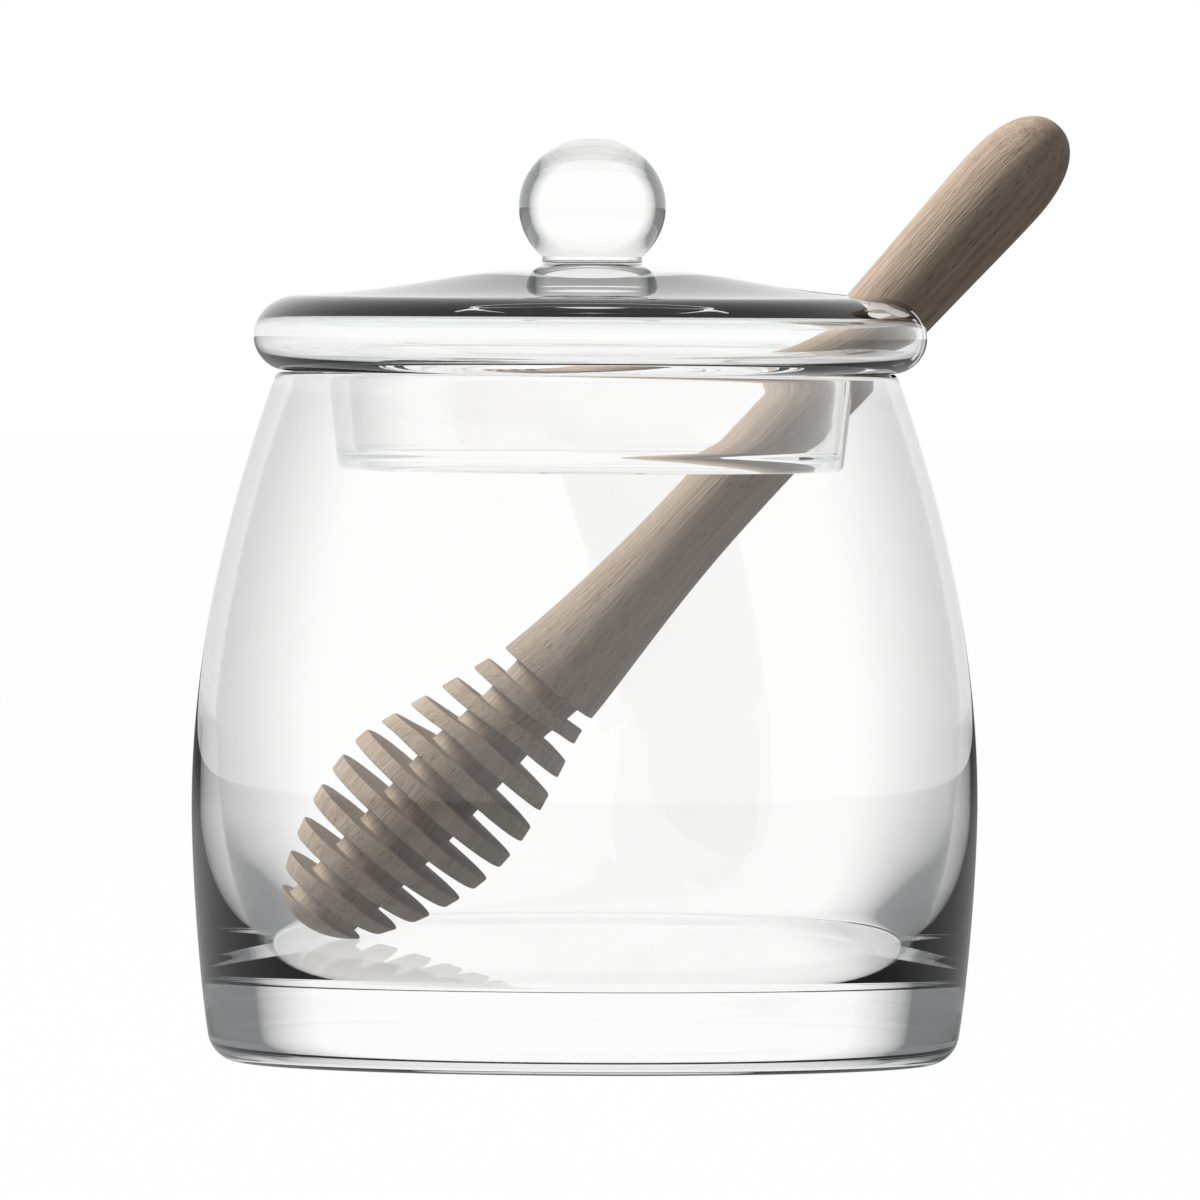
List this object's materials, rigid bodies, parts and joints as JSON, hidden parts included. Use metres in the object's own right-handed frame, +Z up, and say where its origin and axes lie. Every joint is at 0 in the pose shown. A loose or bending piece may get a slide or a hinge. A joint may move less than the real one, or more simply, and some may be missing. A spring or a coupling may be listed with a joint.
{
  "type": "honey pot",
  "caption": "Empty glass honey pot with a heavy foot, a hollow glass lid with ball knob and slot, and a turned oak dipper leaning in it.",
  "frame": {"origin": "middle of the pot's flat base, on the surface it stands on", "axes": "+Z up along the pot's axis; the dipper lies in the X-Z plane, its tip towards -X and its handle out of the lid's slot towards +X"},
  "size_m": [0.1129, 0.1014, 0.1225],
  "materials": {
    "glass": "clear colourless blown glass, polished",
    "wood": "raw fine-sanded oak with open pores along the grain"
  },
  "bodies": {
    "root": {"pot": "glass", "lid": "glass", "dipper": "wood"}
  },
  "joints": []
}
